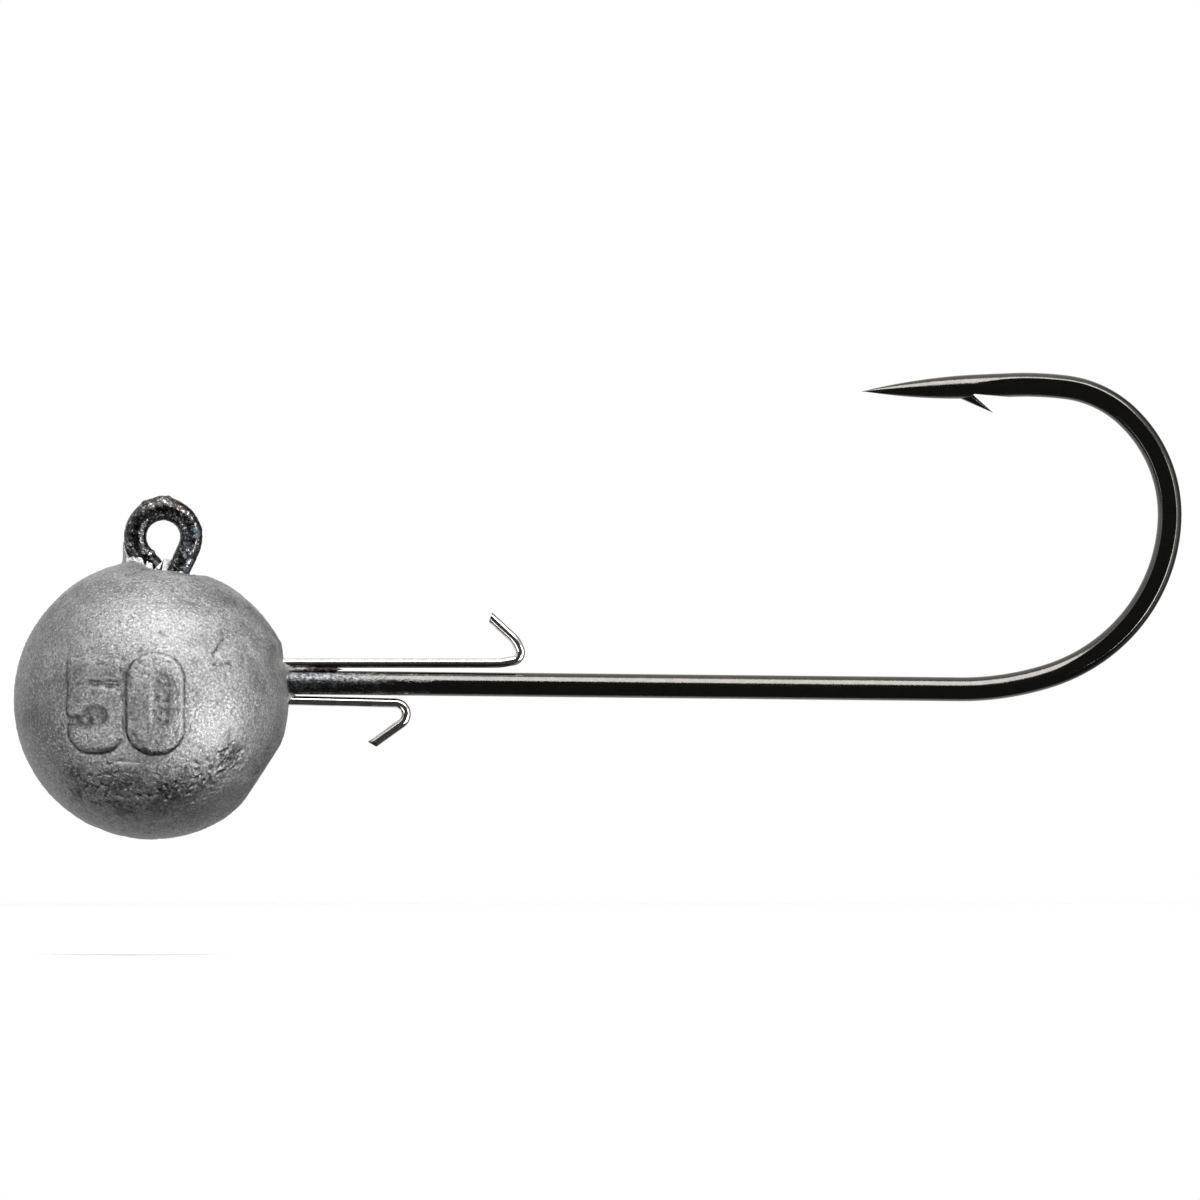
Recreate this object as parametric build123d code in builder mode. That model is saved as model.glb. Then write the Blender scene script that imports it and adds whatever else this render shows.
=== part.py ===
"""Round-head lead jig: a ball of lead cast over a forged hook and a wire bait keeper.

The frame has its origin at the centre of the line eye, +X along the shank towards
the hook's bend and +Z up. The hook lies in the XZ plane. Millimetres and degrees.
"""

from build123d import *
from math import cos, radians, sin, tan
import os

# Hook wire
SHANK_D = 1.78          # wire along the shank and round the bend
EYE_WIRE_D = 1.66       # wire drawn down for the eye and its leg
FORGED_T = 1.47         # thickness across the forged flats of the bend
FLATS_START_X = 53.0    # the flats fade in from here
FLATS_FULL_X = 60.0     # and have their full depth from here

# Line eye, closed against its own leg
EYE_R = 2.07            # centreline radius of the ring
ARM_LEAN = 42.0         # lean of the free arm from vertical
ARM_L = 1.3             # straight length of the free arm
LEG_LEAN = 25.0         # lean of the leg from vertical where it leaves the ring
LEG_L = 2.9             # straight length of the leaning leg
LEG_BEND_R = 5.0        # the leg turns back to vertical inside the lead
CORNER_R = 2.4          # corner between leg and shank
TAPER_L = 1.5           # length over which the wire grows to the shank's diameter

# Shank, bend and point
SHANK_SLOPE = 0.59      # the shank drops this much towards the bend
SHANK_END_X = 58.83     # where the bend starts
SHANK_END_Z = -11.26
BEND_ARCS = [           # centreline radius and turn of each tangent arc
    (21.5, 18.0),
    (13.0, 28.0),
    (12.5, 42.0),
    (10.0, 50.0),
    (8.0, 35.5),
    (25.0, 9.5),
]
POINT_L = 10.95         # straight wire from the end of the bend to the tip
OGIVE_L = 8.8           # sharpened length of the point
TIP_R = 0.03            # radius of the tip's end

# Barb, sliced out of the inner side of the point and lifted, as X, Z pairs
BARB_HEEL = (59.00, 10.16)
BARB_ROOT = (59.84, 10.59)
BARB_TIP = (61.43, 9.17)
SLICE_END = (62.70, 10.34)
BARB_ROOT_W = 1.20      # width across the wire at the root
BARB_TIP_W = 0.16

# Bait keeper: a hairpin that saddles the shank inside the lead
KEEPER_D = 0.70
SADDLE_X = 5.5          # where both legs turn sideways to pass round the shank
SADDLE_Y = 2.0          # how far to the side of the shank the closed end lies
SADDLE_R = 0.80
UPPER_Z = -9.33         # the upper leg
UPPER_BENDS = [         # corner X, Z and bend radius, from the leg to the spur
    (24.90, -9.33, 5.0),
    (26.66, -9.02, 0.62),
    (26.12, -7.69, 2.0),
]
UPPER_SPUR_END = (24.21, -5.93)
LOWER_Z = -12.00        # the lower leg, where it leaves the saddle
LOWER_BENDS = [
    (19.64, -12.33, 0.83),
]
LOWER_SPUR_END = (15.45, -15.33)

# Lead head
BALL_R = 10.25
BALL_X = -0.81
BALL_Z = -12.08
GATE_ANGLE = -33.0      # direction of the gate cut from the ball's centre
GATE_DEPTH = 0.50       # lead missing at the gate cut
FLARE_BASE = (-1.30, -2.80, 1.75)   # lead that climbs the outside of the free arm:
FLARE_TOP = (-2.45, -0.95, 0.45)    # X, Z and radius at its foot and at its top
WEB_T = 0.40            # flash between the wires at the parting line
WEB_END_X = 9.85
WEB_RUNOUT = 0.60       # the flash is hollow between the wires by this much

# Raised digits of the weight mark, on the ball's -Y side. Each piece of a digit is a
# rounded rectangle: left, right, bottom, top and corner radius
RELIEF = 0.25
FIVE_STEM = (-6.87, -5.40, -13.20, -8.90, 0.25)
FIVE_BAR = (-6.87, -3.05, -10.60, -8.90, 0.30)
FIVE_BOWL = (-6.87, -2.87, -15.88, -11.00, 1.65)
FIVE_COUNTER = (-5.75, -4.00, -13.70, -12.55, 0.50)
FIVE_MOUTH = (-7.60, -5.20, -13.85, -13.20, 0.25)
ZERO_RING = (-2.59, 1.65, -16.00, -8.58, 2.00)
ZERO_COUNTER = (-0.70, 0.55, -13.85, -10.10, 0.60)


def shank_z(x):
    """Height of the shank's centreline at x."""
    return SHANK_END_Z + (SHANK_END_X - x) * tan(radians(SHANK_SLOPE))


def across(path, at):
    """Plane square to a path at its start (0) or end (1)."""
    return Plane(origin=path @ at, z_dir=path % at)


def patch(left, right, bottom, top, radius, mode=Mode.ADD):
    """Rounded rectangle between these edges, in the sketch that is open."""
    with Locations(((left + right) / 2, (bottom + top) / 2)):
        RectangleRounded(right - left, top - bottom, radius, mode=mode)


# Centreline of the eye, its leg and the corner under it
arm_join = (-EYE_R * cos(radians(ARM_LEAN)), -EYE_R * sin(radians(ARM_LEAN)))
arm_end = (
    arm_join[0] + ARM_L * sin(radians(ARM_LEAN)),
    arm_join[1] - ARM_L * cos(radians(ARM_LEAN)),
)
with BuildLine(Plane.XZ) as eye_path:
    arm = Line(arm_end, arm_join)
    ring = JernArc(arm @ 1, arm % 1, EYE_R, -(180 + ARM_LEAN + LEG_LEAN))
    leg = Line(ring @ 1, ring @ 1 + LEG_L * (ring % 1))
    straighten = JernArc(leg @ 1, leg % 1, LEG_BEND_R, LEG_LEAN)
    corner_x = (straighten @ 1).X
    corner_z = shank_z(corner_x + CORNER_R) + CORNER_R
    drop = Line(straighten @ 1, (corner_x, corner_z))
    corner = JernArc(drop @ 1, drop % 1, CORNER_R, 90 - SHANK_SLOPE)

# Centreline of the shank and the bend
shank_start_x = (corner @ 1).X + TAPER_L
with BuildLine(Plane.XZ) as bend_path:
    shank = Line((shank_start_x, shank_z(shank_start_x)), (SHANK_END_X, SHANK_END_Z))
    arc = shank
    for radius, turn in BEND_ARCS:
        arc = JernArc(arc @ 1, arc % 1, radius, turn)
    plain_point = Line(arc @ 1, arc @ 1 + (POINT_L - OGIVE_L) * (arc % 1))

# Forged hook
ogive_plane = Plane(origin=plain_point @ 1, x_dir=plain_point % 1, z_dir=(0, -1, 0))
with BuildPart() as hook:
    with BuildSketch(across(arm, 0)):
        Circle(EYE_WIRE_D / 2)
    sweep(path=eye_path.line)
    with BuildSketch(across(corner, 1)):
        Circle(EYE_WIRE_D / 2)
    with BuildSketch(across(shank, 0)):
        Circle(SHANK_D / 2)
    loft()
    with BuildSketch(across(shank, 0)):
        Circle(SHANK_D / 2)
    sweep(path=bend_path.line)
    # Point: an ogive turned about the wire's own axis
    with BuildSketch(ogive_plane):
        with BuildLine():
            flank = RadiusArc(
                (0, SHANK_D / 2),
                (OGIVE_L, TIP_R),
                (OGIVE_L**2 + (SHANK_D / 2 - TIP_R) ** 2) / (SHANK_D - 2 * TIP_R),
            )
            Polyline(flank @ 1, (OGIVE_L, 0), (0, 0), flank @ 0)
        make_face()
    revolve(axis=Axis(plain_point @ 1, plain_point % 1))
    # The slice that frees the barb leaves a notch in the inner side
    with BuildSketch(Plane.XZ):
        Polygon(BARB_ROOT, SLICE_END, (SLICE_END[0], BARB_TIP[1]), BARB_HEEL, align=None)
    extrude(amount=SHANK_D, both=True, mode=Mode.SUBTRACT)
    # Forged flats on both sides of the bend
    with BuildSketch(Plane.XY):
        with BuildLine():
            Polyline(
                (FLATS_START_X, SHANK_D / 2),
                (FLATS_FULL_X, FORGED_T / 2),
                (SHANK_END_X * 1.5, FORGED_T / 2),
                (SHANK_END_X * 1.5, SHANK_D),
                (FLATS_START_X, SHANK_D),
                close=True,
            )
        make_face()
        mirror(about=Plane.XZ)
    extrude(amount=-SHANK_END_Z + BALL_R, both=True, mode=Mode.SUBTRACT)

with BuildPart() as barb:
    with BuildSketch(Plane.XZ):
        Polygon(BARB_HEEL, BARB_TIP, BARB_ROOT, (BARB_HEEL[0], BARB_ROOT[1]), align=None)
    extrude(amount=SHANK_D, both=True)
    with BuildSketch(Plane.XY):
        Polygon(
            (BARB_HEEL[0], BARB_ROOT_W / 2),
            (BARB_TIP[0], BARB_TIP_W / 2),
            (BARB_TIP[0], -BARB_TIP_W / 2),
            (BARB_HEEL[0], -BARB_ROOT_W / 2),
            align=None,
        )
    extrude(amount=2 * BALL_R, mode=Mode.INTERSECT)

with hook:
    add(barb.part)

hook.part.label = "hook"

# Bait keeper wire
with BuildPart() as keeper:
    with BuildLine() as keeper_path:
        FilletPolyline(
            (UPPER_SPUR_END[0], 0, UPPER_SPUR_END[1]),
            *[(x, 0, z) for x, z, radius in reversed(UPPER_BENDS)],
            (SADDLE_X, 0, UPPER_Z),
            (SADDLE_X, SADDLE_Y, UPPER_Z),
            (SADDLE_X, SADDLE_Y, LOWER_Z),
            (SADDLE_X, 0, LOWER_Z),
            *[(x, 0, z) for x, z, radius in LOWER_BENDS],
            (LOWER_SPUR_END[0], 0, LOWER_SPUR_END[1]),
            radius=[radius for x, z, radius in reversed(UPPER_BENDS)]
            + [SADDLE_R] * 4
            + [radius for x, z, radius in LOWER_BENDS],
        )
    keeper_wire = keeper_path.wire()
    with BuildSketch(across(keeper_wire, 0)):
        Circle(KEEPER_D / 2)
    sweep(path=keeper_wire)

keeper.part.label = "keeper"

# Raised weight mark
ball_centre = Vector(BALL_X, 0, BALL_Z)
with BuildPart() as digits:
    with BuildSketch(Plane.XZ):
        # 5: a bowl that opens to the left, its stem and its top bar
        patch(*FIVE_BOWL)
        patch(*FIVE_COUNTER, mode=Mode.SUBTRACT)
        patch(*FIVE_MOUTH, mode=Mode.SUBTRACT)
        patch(*FIVE_STEM)
        patch(*FIVE_BAR)
        # 0: an upright ring
        patch(*ZERO_RING)
        patch(*ZERO_COUNTER, mode=Mode.SUBTRACT)
    extrude(amount=2 * BALL_R)
    with Locations(ball_centre):
        Sphere(BALL_R + RELIEF, mode=Mode.INTERSECT)

# Cast lead head, cut flat where the gate was, with flash at the parting line
gate_dir = Vector(cos(radians(GATE_ANGLE)), 0, sin(radians(GATE_ANGLE)))
gate_cut = Plane(origin=ball_centre + (BALL_R - GATE_DEPTH) * gate_dir, z_dir=gate_dir)
with BuildPart() as lead_head:
    with Locations(ball_centre):
        Sphere(BALL_R)
    split(bisect_by=gate_cut, keep=Keep.BOTTOM)
    add(digits.part)
    # Lead that climbed the free arm of the eye
    for x, z, radius in (FLARE_BASE, FLARE_TOP):
        with BuildSketch(Plane.XY.offset(z)):
            with Locations((x, 0)):
                Circle(radius)
    loft()
    # Flash between the upper wire and the shank, and under the shank
    with BuildSketch(Plane.XZ):
        Polygon(
            (ball_centre.X, UPPER_Z),
            (WEB_END_X, UPPER_Z),
            (WEB_END_X - WEB_RUNOUT, shank_z(WEB_END_X)),
            (WEB_END_X, LOWER_Z),
            (ball_centre.X, LOWER_Z),
            align=None,
        )
    extrude(amount=WEB_T / 2, both=True)
    add(hook.part, mode=Mode.SUBTRACT)
    add(keeper.part, mode=Mode.SUBTRACT)

lead_head.part.label = "lead_head"

os.makedirs("parts", exist_ok=True)
export_step(hook.part, "parts/hook.step")
export_step(keeper.part, "parts/keeper.step")
export_step(lead_head.part, "parts/lead_head.step")
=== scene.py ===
"""Round-head lead jig: the looks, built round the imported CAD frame.

The scene is in metres in the CAD's own frame: the origin is at the centre of the
line eye, +X runs along the shank and +Z points up. The shapes are worked out in
millimetres, and MM turns those to metres.
"""

import math

import bmesh
import bpy
import numpy as np
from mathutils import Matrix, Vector, noise


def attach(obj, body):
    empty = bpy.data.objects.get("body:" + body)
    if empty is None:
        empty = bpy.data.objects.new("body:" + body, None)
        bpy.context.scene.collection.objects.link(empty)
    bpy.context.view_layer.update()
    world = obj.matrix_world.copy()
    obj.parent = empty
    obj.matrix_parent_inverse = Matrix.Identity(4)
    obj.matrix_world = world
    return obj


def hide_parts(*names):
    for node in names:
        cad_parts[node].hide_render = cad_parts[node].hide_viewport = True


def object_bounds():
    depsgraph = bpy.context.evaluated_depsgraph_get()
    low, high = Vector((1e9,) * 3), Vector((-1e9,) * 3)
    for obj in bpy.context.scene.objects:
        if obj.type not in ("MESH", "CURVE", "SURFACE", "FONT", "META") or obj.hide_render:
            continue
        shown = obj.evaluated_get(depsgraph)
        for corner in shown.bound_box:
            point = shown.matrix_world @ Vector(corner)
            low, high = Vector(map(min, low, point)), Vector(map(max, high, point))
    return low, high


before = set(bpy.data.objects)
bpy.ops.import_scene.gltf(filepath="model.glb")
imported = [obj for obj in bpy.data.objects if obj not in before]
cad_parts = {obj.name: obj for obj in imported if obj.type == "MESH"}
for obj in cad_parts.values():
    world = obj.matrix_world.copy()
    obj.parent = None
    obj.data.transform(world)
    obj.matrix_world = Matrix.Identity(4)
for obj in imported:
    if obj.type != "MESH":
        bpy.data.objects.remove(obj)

cad_low, cad_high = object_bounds()
MM = 0.001
X, Y, Z = 0, 1, 2
SHARP_ANGLE = math.radians(38)      # edges sharper than this keep their crease

# Hook, as in the CAD apart from where its forged flats begin and end and how the barb is
# let in. Lengths are in millimetres and angles in degrees, down to the soft boxes.
SHANK_R = 0.89
EYE_WIRE_R = 0.83
FORGED_HALF_T = 0.735   # half the thickness across the forged flats
EYE_R = 2.07
ARM_LEAN = 42.0
ARM_L = 1.3
LEG_LEAN = 25.0
LEG_L = 2.9
LEG_BEND_R = 5.0
CORNER_R = 2.4
SHANK_SLOPE = 0.59
SHANK_END = (58.83, -11.26)
BEND_ARCS = [(21.5, 18.0), (13.0, 28.0), (12.5, 42.0), (10.0, 50.0), (8.0, 35.5), (25.0, 9.5)]
POINT_L = 10.95
OGIVE_L = 8.8
BARB_HEEL = (59.00, 10.16)
BARB_ROOT = (59.84, 10.59)
BARB_TIP = (61.43, 9.17)
SLICE_END = (62.70, 10.34)
BARB_HALF_W = (0.60, 0.08)
BARB_OVERLAP = 0.06     # how far the barb's heel is let into the wire
FLATS = (-1.0, 13.0)    # where the flats begin and are full, from the bend's start
FLATS_AT_POINT = (3.0, 12.0)        # where they end and are full, from the tip
FLAT_EDGE = 0.02        # rounding of the flats' edges
WIRE_BLEND = 1.5        # length over which the eye's wire grows to the shank's
TIP_R = 0.03
EYE_STEP = 0.07         # spacing of the rings round the eye
SHANK_STEP = 0.15       # and beyond the corner
HOOK_SIDES = 44
BARB_SIDES = 28
TUBE_SIDES = 32

# Spatter on the eye: place, height and width
NODULES = [
    (-1.44, -0.1, 2.60, 0.16, 0.30), (0.42, 0.1, 2.95, 0.14, 0.18), (-0.2, -0.3, 2.8, 0.08, 0.30),
    (1.85, -0.80, -1.20, 0.14, 0.30), (-0.92, -0.8, 2.00, 0.10, 0.25), (2.75, 0.2, 0.6, 0.06, 0.20),
    (-0.75, -0.3, -1.10, 0.12, 0.22), (0.6, -0.7, 2.2, 0.09, 0.22), (-2.3, 0.6, 1.2, 0.10, 0.25),
    (0.9, 0.8, 1.9, 0.12, 0.3), (1.5, 0.75, -1.6, 0.12, 0.3),
]

# Bait keeper, as in the CAD apart from its sheared ends
KEEPER_R = 0.35
SADDLE_X = 5.5
SADDLE_Y = 2.0
SADDLE_R = 0.80
UPPER_Z = -9.33
UPPER_BENDS = [(24.90, -9.33, 5.0), (26.66, -9.02, 0.62), (26.12, -7.69, 2.0)]
UPPER_SPUR_END = (24.21, -5.93)
LOWER_Z = -12.00
LOWER_BENDS = [(19.64, -12.33, 0.83)]
LOWER_SPUR_END = (15.45, -15.33)
SHEAR = 0.45            # slant of the cut ends
SHEAR_REACH = 0.60
SHEAR_ROUND = (0.03, 0.06)          # how much thinner the cut edge is, and over what length
BURR_REACH = 0.22
KEEPER_STEP = 0.10

# Lead head. Its sizes and digits are the CAD's, apart from FIVE_SHOULDER; the cast skin,
# the lead at the wires, the scars and the residue are only here.
BALL_R = 10.25
BALL_C = np.array([-0.81, 0.0, -12.08])
GATE_ANGLE = -33.0
GATE_DEPTH = 0.50
RELIEF = 0.25

# The digits, as rounded rectangles: left, right, bottom, top and corner radius
FIVE_STEM = (-6.87, -5.40, -13.20, -8.90, 0.25)
FIVE_BAR = (-6.87, -3.05, -10.60, -8.90, 0.30)
FIVE_BOWL = (-6.87, -2.87, -15.88, -11.00, 1.65)
FIVE_COUNTER = (-5.75, -4.00, -13.70, -12.55, 0.50)
FIVE_MOUTH = (-7.60, -5.20, -13.85, -13.20, 0.25)
FIVE_SHOULDER = (-5.60, -2.95, -13.00, -11.12, 0.75)    # squares the bowl's upper right
ZERO_RING = (-2.59, 1.65, -16.00, -8.58, 2.00)
ZERO_COUNTER = (-0.70, 0.55, -13.85, -10.10, 0.60)
MARKED = (-7.6, 5.9, -19.8, -7.0)   # the detailed part of the front: left, right, bottom, top

# Caps of the ball at the eye and at the shank, as the cosine of their angle
CAP = 0.9

# Ovals where the arm and the leg of the eye leave the lead: centre X, Y and half axes
ARM_OVAL = (-1.07, 0.0, 1.12, 0.83)
LEG_OVAL = (1.40, 0.0, 0.92, 0.83)

# Dark band: X and Z of its lowest point, and how fast it curves up from there
BAND_X, BAND_Z, BAND_CURVE = -2.0, -19.0, 0.06

# Cast skin: height over the plain ball round its profile, by angle from +X towards +Z
SKIN = [
    (-180, -0.03), (-90, 0.02), (-60, -0.03), (-52, -0.10), (-44, 0.0), (-34, 0.0), (-29, 0.07),
    (-21, -0.07), (-14, -0.22), (-8, -0.21), (17, -0.13), (24, 0.16), (31, 0.09), (45, -0.03),
    (56, -0.10), (69, -0.24), (82, -0.05), (103, 0.06), (121, 0.09), (140, 0.0), (180, -0.03),
]

# Height of the lead against the front of the eye's wires, by X
FOOT = [
    (-3.3, 0.0), (-2.7, 0.26), (-2.35, 0.32), (-1.66, -0.05), (-0.92, -0.60), (-0.33, -1.05),
    (0.30, -0.75), (1.29, -0.55), (2.3, -0.38), (3.3, 0.0),
]

# Scars, and dark strokes of painted shade at the digits: start, end, depth, and grime and shade
STROKES = [
    ((4.58, -7.61), (3.84, -8.64), 0.12, 0.9), ((3.90, -9.39), (5.06, -9.32), 0.10, 0.9),
    ((4.10, -8.50), (3.75, -9.10), 0.05, 0.5), ((-3.20, -16.62), (-1.66, -16.72), 0.03, 0.0),
    ((-1.55, -8.30), (-1.75, -9.05), 0.05, 0.7), ((0.10, -11.30), (0.38, -13.80), 0.02, 0.8),
    ((-2.15, -14.35), (-1.15, -15.75), 0.04, 1.0), ((-1.15, -15.75), (0.20, -15.95), 0.02, 0.9),
    ((-5.90, -15.45), (-4.00, -15.65), 0.02, 0.7), ((-4.75, -10.84), (-3.30, -10.92), 0.04, 1.0),
]

# Smudges, and painted shade in the digits' counters, on the ball's front: X, Z, reach, strength
SMUDGES_AND_SHADE = [
    (-7.4, -6.3, 1.5, 0.60), (-9.8, -13.0, 1.3, 0.60), (-6.8, -15.8, 1.6, 0.30),
    (3.0, -7.6, 1.6, 0.45), (-5.6, -4.6, 1.2, 0.35), (6.6, -9.4, 1.8, 0.30),
    (-0.42, -10.9, 0.36, 6.0), (0.05, -12.4, 0.60, 0.60), (-4.8, -12.9, 0.55, 0.60),
    (-2.6, -10.2, 0.60, 0.75), (-2.45, -13.0, 0.50, 0.75), (-0.9, -15.9, 0.7, 0.6),
    (-4.6, -15.8, 0.6, 0.4),
]

# Residue between the upper keeper wire and the shank
RESIDUE_START, RESIDUE_END = 8.6, 13.3
RESIDUE_Y, RESIDUE_Z = -0.12, -9.78

# Soft boxes: azimuth and elevation in degrees, width and height in metres, radiance
BOX_DISTANCE = 0.60
BOXES = {
    "top_box": (0.0, 60.0, 0.86, 0.50, 5.2),
    "right_box": (64.0, -6.0, 0.26, 0.60, 5.0),
    "low_right_box": (46.0, -20.0, 0.28, 0.28, 8.0),
    "low_left_box": (-44.0, -20.0, 0.30, 0.30, 2.8),
}
TOP_BOX_SHIFT = 0.13

# Small cards that light the lead ball alone: azimuth, elevation and radiance
CARD_SIZE = (0.28, 0.26)
CARDS = ((46, -22, 5.0), (48, -44, 6.5), (-50, -24, 9.0), (0, -40, 4.0))

# Floor and camera, in lengths of the object unless said otherwise
FLOOR_DROP = 0.10
FLOOR_HALF = 6.0
FRAME_WIDTH = 1.0275
CAMERA_SHIFT = (0.002, 0.005)       # to the right and up
CAMERA_DISTANCE = 3.0               # metres
SENSOR_WIDTH = 36.0                 # millimetres

# World light: where its white side faces, where dark turns to white on the cosine to
# that, and the strengths of the two
SKY_TILT = math.radians(36)
SKY_EDGE = (-0.36, -0.12)
SKY_STRENGTH = (0.055, 0.85)


# ---------------------------------------------------------------- mesh helpers

def smooth(a, b, x):
    """0 below a, 1 above b, and a smooth step between them."""
    t = np.clip((x - a) / (b - a), 0.0, 1.0)
    return t * t * (3.0 - 2.0 * t)


def smooth_min(a, b, k):
    """The smaller of a and b, blended over a band k wide."""
    h = np.clip(0.5 + 0.5 * (b - a) / k, 0.0, 1.0)
    return b + (a - b) * h - k * h * (1.0 - h)


def fractal(points, scale, octaves=3, offset=0.0):
    """Fractal noise about zero at each point, with features about 1 / scale mm across."""
    shift = Vector((offset, 1.7 * offset, -0.6 * offset))
    return np.array([noise.fractal(Vector(p) * scale + shift, 0.9, 2.1, octaves) for p in points])


def bell(distance, width):
    return np.exp(-((distance / width) ** 2))


def to_segment(x, z, start, end):
    """Distance from each point to a short line in the XZ plane."""
    ax, az = start
    dx, dz = end[0] - ax, end[1] - az
    t = np.clip(((x - ax) * dx + (z - az) * dz) / (dx * dx + dz * dz), 0.0, 1.0)
    return np.hypot(x - ax - t * dx, z - az - t * dz)


def paint(obj, name, values):
    """Store one number per vertex for the material to read."""
    attribute = obj.data.attributes.new(name, "FLOAT", "POINT")
    attribute.data.foreach_set("value", np.clip(values, 0.0, 1.0).astype(np.float32))


def mesh_object(name, points_mm, faces):
    """A smooth-shaded mesh object from points in millimetres."""
    mesh = bpy.data.meshes.new(name)
    mesh.from_pydata([tuple(p) for p in np.asarray(points_mm) * MM], [], faces)
    mesh.validate()
    mesh.shade_smooth()
    obj = bpy.data.objects.new(name, mesh)
    bpy.context.scene.collection.objects.link(obj)
    return obj


def ring_angles(count):
    return np.linspace(0, 2 * np.pi, count, endpoint=False)


def tube(centres, tangents, normals, half_widths, half_depths, flat=None, angle=None):
    """Rings of points round a centreline, and the faces that join them, both ends closed.

    Each ring is an ellipse, half_widths along its normal and half_depths along the
    binormal. flat, if given, is the half thickness that each ring's depth is pressed to.
    """
    if angle is None:
        angle = ring_angles(TUBE_SIDES)
    ring = len(angle)
    points = []
    for i, (c, t, n) in enumerate(zip(centres, tangents, normals)):
        b = np.cross(t, n)
        u = half_widths[i] * np.cos(angle)
        v = half_depths[i] * np.sin(angle)
        if flat is not None:
            pressed = smooth_min(np.abs(v), np.full(ring, flat[i]), FLAT_EDGE)
            v = np.sign(v) * np.maximum(pressed, 0)
        points.append(c + np.outer(u, n) + np.outer(v, b))
    count = len(centres)
    faces = []
    for i in range(count - 1):
        for j in range(ring):
            k = (j + 1) % ring
            faces.append((i * ring + j, i * ring + k, (i + 1) * ring + k, (i + 1) * ring + j))
    points = np.vstack(points + [centres[:1], centres[-1:]])
    start, end = count * ring, count * ring + 1
    last = (count - 1) * ring
    for j in range(ring):
        k = (j + 1) % ring
        faces.append((start, k, j))
        faces.append((end, last + j, last + k))
    return points, faces


def trace(start, heading, moves, step):
    """Points and headings along lines and arcs in the XZ plane, from start.

    A move is (length,) for a line or (radius, turn) for an arc, turn in degrees.
    """
    place = np.array(start, float)
    angle = math.radians(heading)
    points, angles = [place.copy()], [angle]
    for move in moves:
        if len(move) == 1:
            count = max(1, round(move[0] / step))
            direction = np.array([math.cos(angle), math.sin(angle)])
            for i in range(1, count + 1):
                points.append(place + direction * move[0] * i / count)
                angles.append(angle)
        else:
            radius, turn = move[0], math.radians(move[1])
            side = math.copysign(1.0, turn)
            centre = place + side * radius * np.array([-math.sin(angle), math.cos(angle)])
            count = max(2, round(radius * abs(turn) / step))
            for i in range(1, count + 1):
                a = angle + turn * i / count
                points.append(centre + side * radius * np.array([math.sin(a), -math.cos(a)]))
                angles.append(a)
            angle += turn
        place = points[-1].copy()
    return np.array(points), np.array(angles)


def in_plane(flat_points):
    """X, Z pairs as points in the hook's plane."""
    return np.column_stack([flat_points[:, 0], np.zeros(len(flat_points)), flat_points[:, 1]])


# ---------------------------------------------------------------- materials

class Nodes:
    """A node tree, with short calls for what the surfaces and the world share."""

    def __init__(self, tree, coords):
        self.tree = tree
        self.coords = tree.nodes.new("ShaderNodeTexCoord").outputs[coords]

    def put(self, socket, value):
        """Link a socket to value, or set its number."""
        if isinstance(value, bpy.types.NodeSocket):
            self.tree.links.new(value, socket)
        else:
            socket.default_value = value

    def remap(self, value, low, high, to_low=0.0, to_high=1.0):
        """A smooth step as value goes from low to high."""
        node = self.tree.nodes.new("ShaderNodeMapRange")
        node.interpolation_type = "SMOOTHSTEP"
        self.put(node.inputs["Value"], value)
        for key, number in (("From Min", low), ("From Max", high),
                            ("To Min", to_low), ("To Max", to_high)):
            node.inputs[key].default_value = number
        return node.outputs["Result"]

    def math(self, operation, a, b):
        node = self.tree.nodes.new("ShaderNodeMath")
        node.operation = operation
        self.put(node.inputs[0], a)
        self.put(node.inputs[1], b)
        return node.outputs[0]

    def times(self, a, b):
        return self.math("MULTIPLY", a, b)

    def plus(self, a, b):
        return self.math("ADD", a, b)

    def axis(self, index):
        node = self.tree.nodes.new("ShaderNodeSeparateXYZ")
        self.put(node.inputs[0], self.coords)
        return node.outputs[index]


class Material(Nodes):
    """A material. Its places and bump depths are given in millimetres."""

    def __init__(self, name):
        self.material = bpy.data.materials.new(name)
        self.material.use_nodes = True
        super().__init__(self.material.node_tree, "Object")
        self.shader = self.tree.nodes["Principled BSDF"]

    def ramp(self, index, low, high, to_low=0.0, to_high=1.0):
        """A smooth step between two places on one axis."""
        return self.remap(self.axis(index), low * MM, high * MM, to_low, to_high)

    def noise(self, scale, detail=4.0, roughness=0.6, distortion=0.0, coords=None):
        node = self.tree.nodes.new("ShaderNodeTexNoise")
        node.inputs["Scale"].default_value = scale
        node.inputs["Detail"].default_value = detail
        node.inputs["Roughness"].default_value = roughness
        node.inputs["Distortion"].default_value = distortion
        self.put(node.inputs["Vector"], coords or self.coords)
        return node.outputs["Fac"]

    def stretch(self, x, y, z):
        """The object's coordinates, scaled on each axis."""
        node = self.tree.nodes.new("ShaderNodeMapping")
        node.inputs["Scale"].default_value = (x, y, z)
        self.put(node.inputs["Vector"], self.coords)
        return node.outputs["Vector"]

    def mix(self, factor, a, b):
        node = self.tree.nodes.new("ShaderNodeMix")
        node.data_type = "RGBA"
        self.put(node.inputs["Factor"], factor)
        for key, colour in (("A", a), ("B", b)):
            socket = [s for s in node.inputs if s.name == key and s.type == "RGBA"][0]
            self.put(socket, colour)
        return [s for s in node.outputs if s.type == "RGBA"][0]

    def attribute(self, name):
        node = self.tree.nodes.new("ShaderNodeAttribute")
        node.attribute_name = name
        return node.outputs["Fac"]

    def bump(self, height, strength, depth):
        node = self.tree.nodes.new("ShaderNodeBump")
        node.inputs["Strength"].default_value = strength
        node.inputs["Distance"].default_value = depth * MM
        self.put(node.inputs["Height"], height)
        return node.outputs["Normal"]

    def set(self, **values):
        names = {"color": "Base Color", "roughness": "Roughness", "metallic": "Metallic",
                 "normal": "Normal"}
        for key, value in values.items():
            self.put(self.shader.inputs[names[key]], value)
        return self.material


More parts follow.
